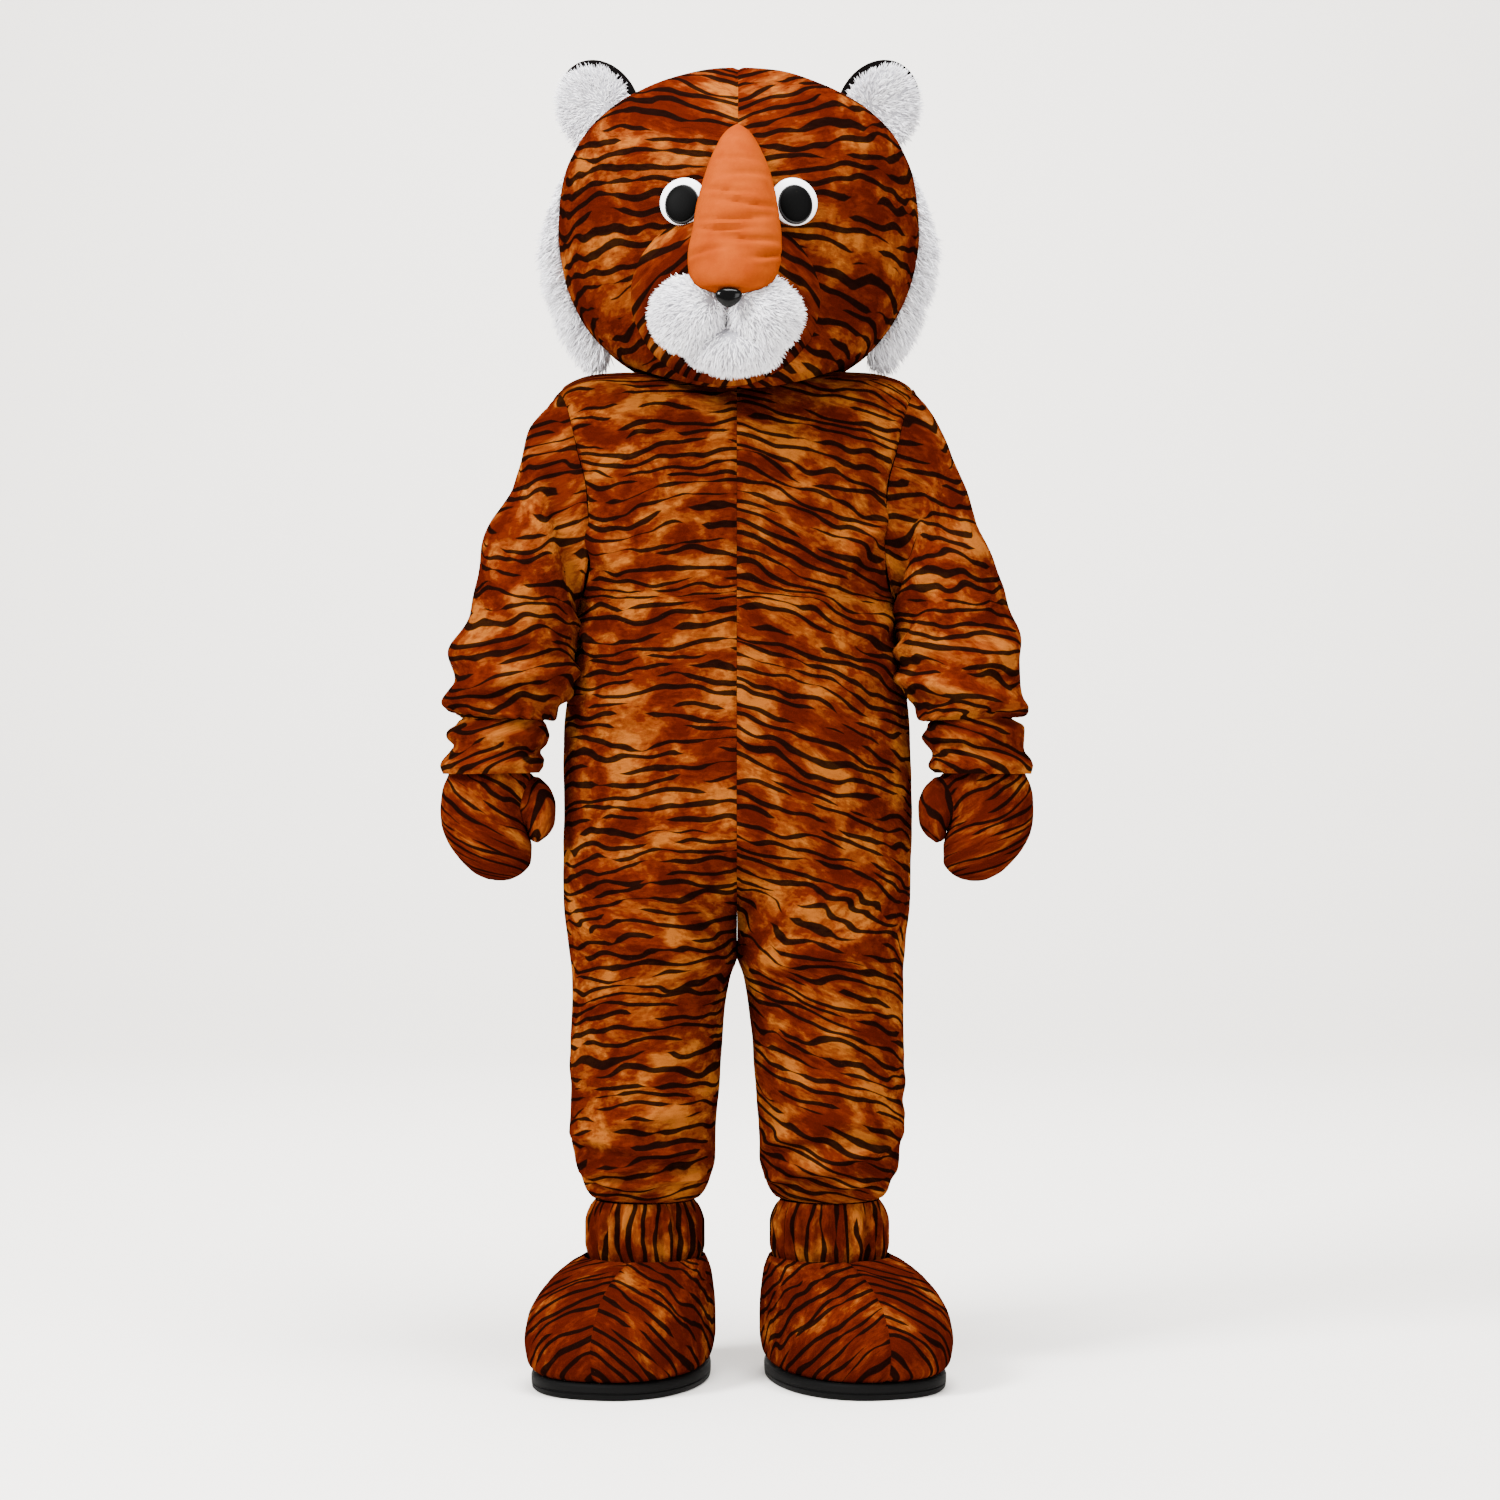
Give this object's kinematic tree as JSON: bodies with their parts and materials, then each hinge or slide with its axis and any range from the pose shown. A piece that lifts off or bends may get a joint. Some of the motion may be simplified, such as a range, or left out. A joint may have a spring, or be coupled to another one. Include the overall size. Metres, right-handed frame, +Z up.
{
  "type": "tiger mascot costume",
  "caption": "Full-body tiger mascot costume of printed plush with a large padded head, mitts and boots, standing filled out as when worn.",
  "frame": {"origin": "on the centre plane at the neck base, where the costume hangs on its wearer's shoulders", "axes": "+Z up, -Y out of the costume's front, +X to the wearer's left"},
  "size_m": [0.867, 0.627, 1.9421],
  "materials": {
    "tiger_plush": "short-pile plush with a printed tiger stripe",
    "dark_tiger_plush": "the same plush in a darker rust",
    "orange_plush": "plain short-pile plush",
    "white_fur": "longer white pile",
    "black_plush": "black pile",
    "eye_white": "satin white",
    "eye_pupil": "satin black",
    "nose_plastic": "gloss black",
    "sole_rubber": "matt black"
  },
  "bodies": {
    "root": {"back_left": "tiger_plush", "back_right": "tiger_plush", "boot_collar_left": "tiger_plush", "boot_collar_right": "tiger_plush", "boot_inner_left": "dark_tiger_plush", "boot_inner_right": "dark_tiger_plush", "boot_outer_left": "dark_tiger_plush", "boot_outer_right": "dark_tiger_plush", "boot_sole_left": "sole_rubber", "boot_sole_right": "sole_rubber", "chin": "white_fur", "cuff_left": "tiger_plush", "cuff_right": "tiger_plush", "ear_back_left": "black_plush", "ear_back_right": "black_plush", "ear_front_left": "white_fur", "ear_front_right": "white_fur", "eye_pupil_left": "eye_pupil", "eye_pupil_right": "eye_pupil", "eye_white_left": "eye_white", "eye_white_right": "eye_white", "front_left": "tiger_plush", "front_right": "tiger_plush", "head_back_left": "tiger_plush", "head_back_right": "tiger_plush", "head_front_left": "tiger_plush", "head_front_right": "tiger_plush", "mitt_back_left": "dark_tiger_plush", "mitt_back_right": "dark_tiger_plush", "mitt_palm_left": "dark_tiger_plush", "mitt_palm_right": "dark_tiger_plush", "mitt_thumb_left": "dark_tiger_plush", "mitt_thumb_right": "dark_tiger_plush", "muzzle_left": "white_fur", "muzzle_pad": "tiger_plush", "muzzle_right": "white_fur", "nose_bridge": "orange_plush", "nose_tip": "nose_plastic", "ruff_left": "white_fur", "ruff_right": "white_fur", "sleeve_left": "tiger_plush", "sleeve_right": "tiger_plush"}
  },
  "joints": []
}
